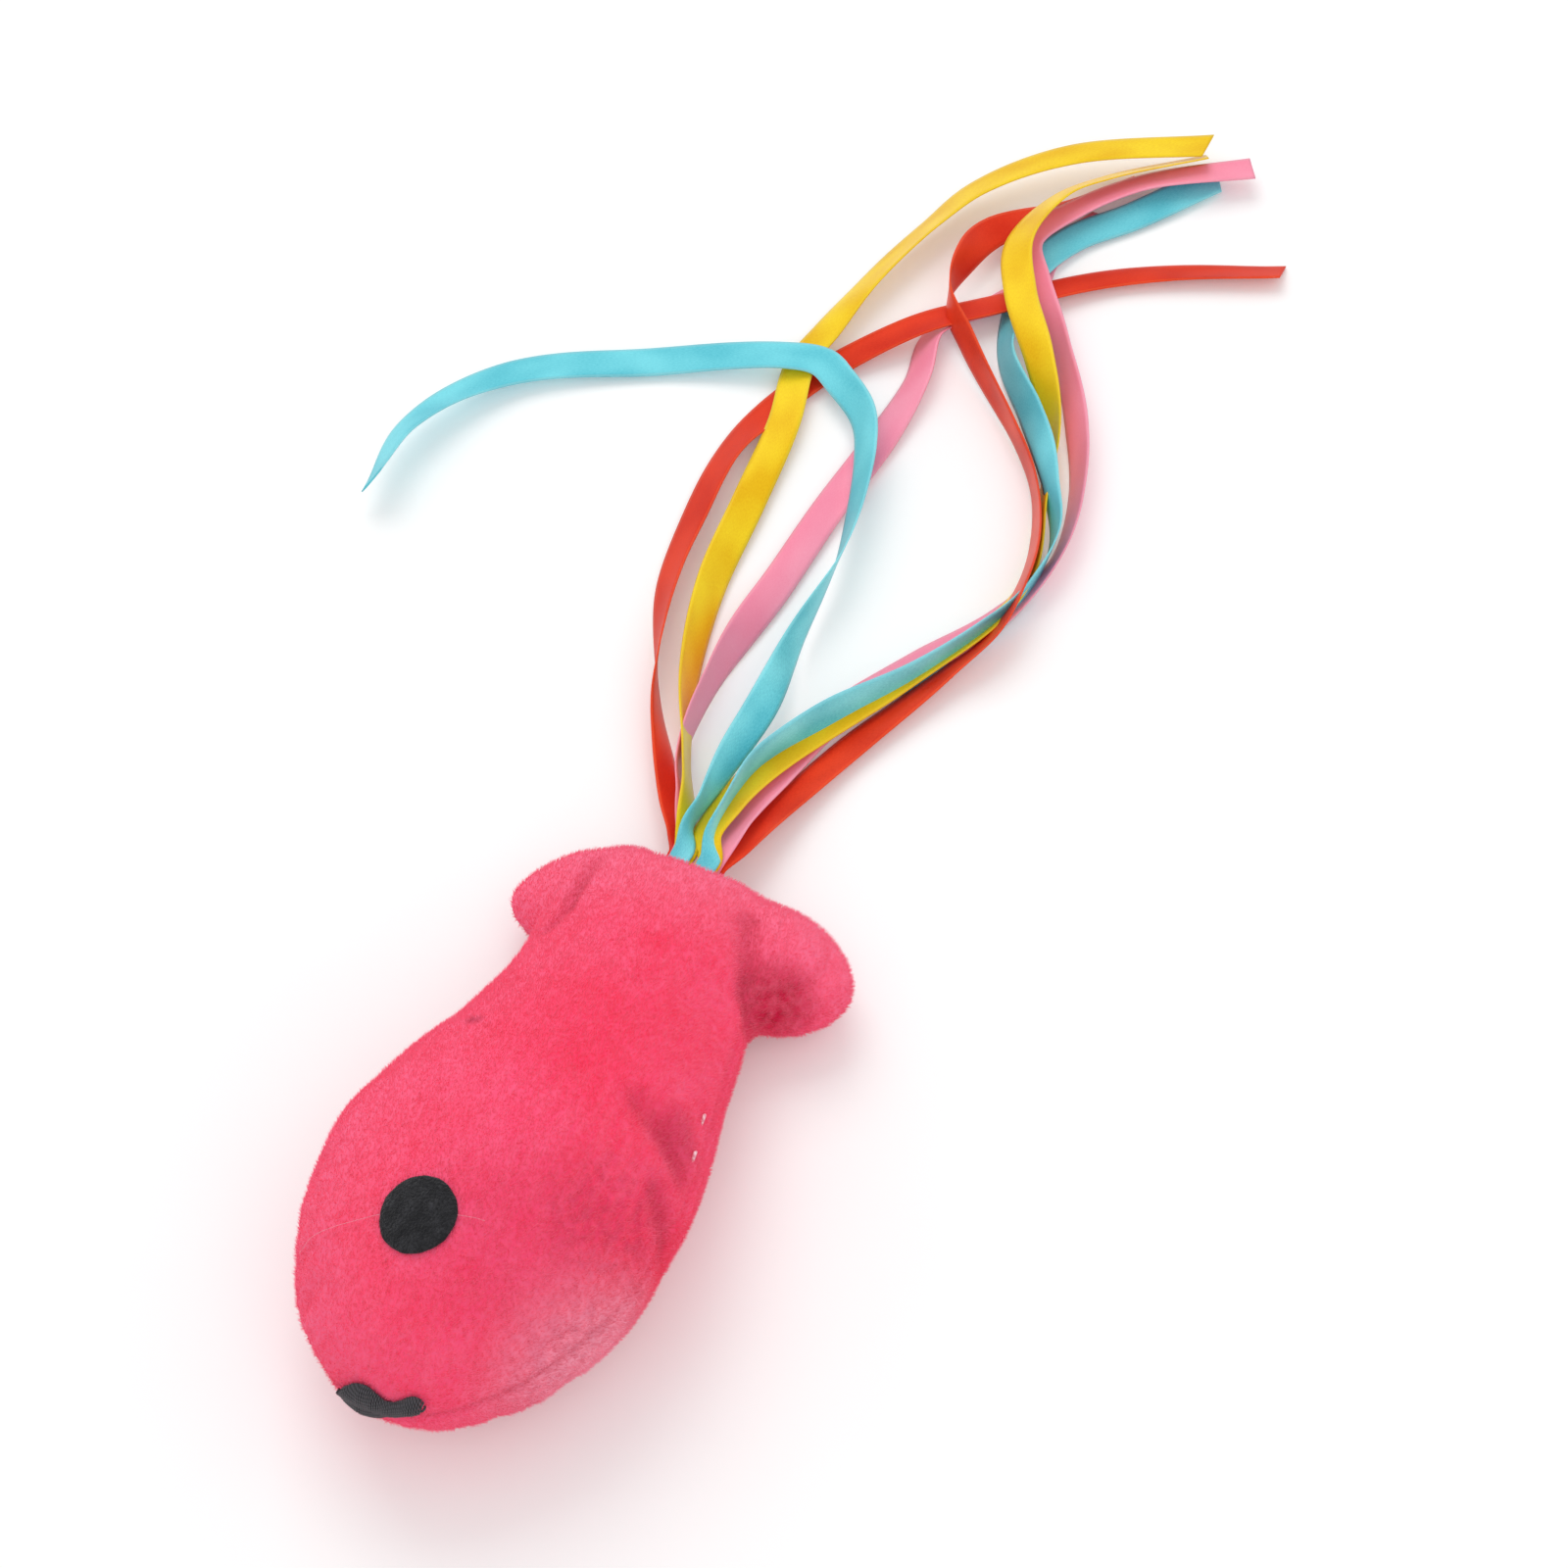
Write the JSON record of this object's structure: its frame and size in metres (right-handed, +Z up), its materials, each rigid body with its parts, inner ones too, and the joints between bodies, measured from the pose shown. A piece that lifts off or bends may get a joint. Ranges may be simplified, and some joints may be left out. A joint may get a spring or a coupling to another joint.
{
  "type": "plush fish cat toy",
  "caption": "Stuffed plush fish cat toy with felt eyes, a stitched mouth and satin ribbon tails caught in its tail seam.",
  "frame": {"origin": "on the surface that the fish lies on, under the middle of the box of its body and tail lobes, without the ribbon tails", "axes": "+X from the tail to the snout, +Y from the back to the belly, +Z up"},
  "size_m": [0.3087, 0.13, 0.0393],
  "materials": {
    "pink_plush": "short pile",
    "fibre_fill": "loose fibre",
    "pouch_cotton": "plain weave",
    "dried_herb": "loose flakes",
    "black_felt": "felt",
    "black_thread": "satin stitch",
    "pink_thread": "spun thread",
    "pale_thread": "spun thread",
    "red_satin": "satin",
    "pink_satin": "satin",
    "yellow_satin": "satin",
    "turquoise_satin": "satin"
  },
  "bodies": {
    "fish": {"plush_upper": "pink_plush", "plush_lower": "pink_plush", "tail_lobe_back": "pink_plush", "tail_lobe_belly": "pink_plush", "stuffing_upper": "fibre_fill", "stuffing_lower": "fibre_fill", "pouch_upper": "pouch_cotton", "pouch_lower": "pouch_cotton", "catnip": "dried_herb", "eye_upper": "black_felt", "eye_lower": "black_felt", "mouth_stitching": "black_thread", "seam_thread_back": "pink_thread", "seam_thread_belly": "pink_thread", "closing_thread": "pale_thread", "ribbon_tack": "pink_thread"},
    "ribbon_roots": {"ribbon_fold_red": "red_satin", "ribbon_fold_pink": "pink_satin", "ribbon_fold_yellow": "yellow_satin", "ribbon_fold_turquoise": "turquoise_satin"},
    "ribbon_tails": {"ribbon_red_left": "red_satin", "ribbon_red_right": "red_satin", "ribbon_pink_left": "pink_satin", "ribbon_pink_right": "pink_satin", "ribbon_yellow_left": "yellow_satin", "ribbon_yellow_right": "yellow_satin", "ribbon_turquoise_left": "turquoise_satin", "ribbon_turquoise_right": "turquoise_satin"}
  },
  "joints": [
    {"name": "ribbon_swing", "type": "hinge", "parent": "fish", "child": "ribbon_roots", "pos_m": [-0.05027, -0.00406, 0.00936], "axis": [0, 0, 1], "range_deg": [-20, 20]},
    {"name": "ribbon_lift", "type": "hinge", "parent": "ribbon_roots", "child": "ribbon_tails", "pos_m": [-0.05642, -0.00406, 0.01061], "axis": [0, 1, 0], "range_deg": [0, 70]}
  ]
}
